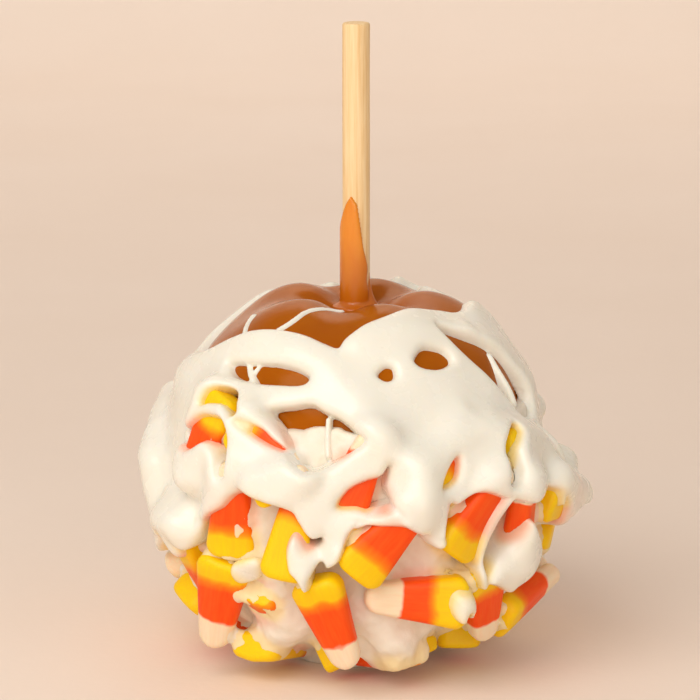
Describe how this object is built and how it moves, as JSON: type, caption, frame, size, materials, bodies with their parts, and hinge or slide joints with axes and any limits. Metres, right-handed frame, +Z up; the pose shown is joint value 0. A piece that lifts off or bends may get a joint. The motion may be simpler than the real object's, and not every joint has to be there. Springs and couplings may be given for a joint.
{
  "type": "caramel apple",
  "caption": "Caramel apple on a wooden stick, its lower part set in white chocolate with candy corn under a thick white chocolate drizzle.",
  "frame": {"origin": "on the stick's axis, in the flat foot of white chocolate that the apple stands on", "axes": "+Z up along the stick, -Y towards the side where the drizzle leaves the dipped coat open"},
  "size_m": [0.0984, 0.0973, 0.1375],
  "materials": {
    "stick": "plain pale birch, matt, with fine grain along it",
    "caramel_apple": "glossy amber-brown caramel, slightly uneven",
    "white_base": "dull, finely rough white chocolate dip",
    "drizzle": "glossy creamy white chocolate, tinted yellow and pink where it thins over the sweets",
    "candy_corn": "smooth satin sugar, yellow at the base, orange in the middle and ivory at the tip"
  },
  "bodies": {
    "root": {"stick": "stick", "caramel_apple": "caramel_apple", "white_base": "white_base", "drizzle": "drizzle", "candy_corn_01": "candy_corn", "candy_corn_02": "candy_corn", "candy_corn_03": "candy_corn", "candy_corn_04": "candy_corn", "candy_corn_05": "candy_corn", "candy_corn_06": "candy_corn", "candy_corn_07": "candy_corn", "candy_corn_08": "candy_corn", "candy_corn_09": "candy_corn", "candy_corn_10": "candy_corn", "candy_corn_11": "candy_corn", "candy_corn_12": "candy_corn", "candy_corn_13": "candy_corn", "candy_corn_14": "candy_corn", "candy_corn_15": "candy_corn", "candy_corn_16": "candy_corn", "candy_corn_17": "candy_corn", "candy_corn_18": "candy_corn", "candy_corn_19": "candy_corn", "candy_corn_20": "candy_corn", "candy_corn_21": "candy_corn", "candy_corn_22": "candy_corn", "candy_corn_23": "candy_corn", "candy_corn_24": "candy_corn", "candy_corn_25": "candy_corn", "candy_corn_26": "candy_corn", "candy_corn_27": "candy_corn", "candy_corn_28": "candy_corn", "candy_corn_29": "candy_corn", "candy_corn_30": "candy_corn", "candy_corn_31": "candy_corn", "candy_corn_32": "candy_corn", "candy_corn_33": "candy_corn", "candy_corn_34": "candy_corn", "candy_corn_35": "candy_corn", "candy_corn_36": "candy_corn", "candy_corn_37": "candy_corn", "candy_corn_38": "candy_corn", "candy_corn_39": "candy_corn", "candy_corn_40": "candy_corn", "candy_corn_41": "candy_corn", "candy_corn_42": "candy_corn", "candy_corn_43": "candy_corn", "candy_corn_44": "candy_corn", "candy_corn_45": "candy_corn", "candy_corn_46": "candy_corn", "candy_corn_47": "candy_corn", "candy_corn_48": "candy_corn", "candy_corn_49": "candy_corn"}
  },
  "joints": []
}
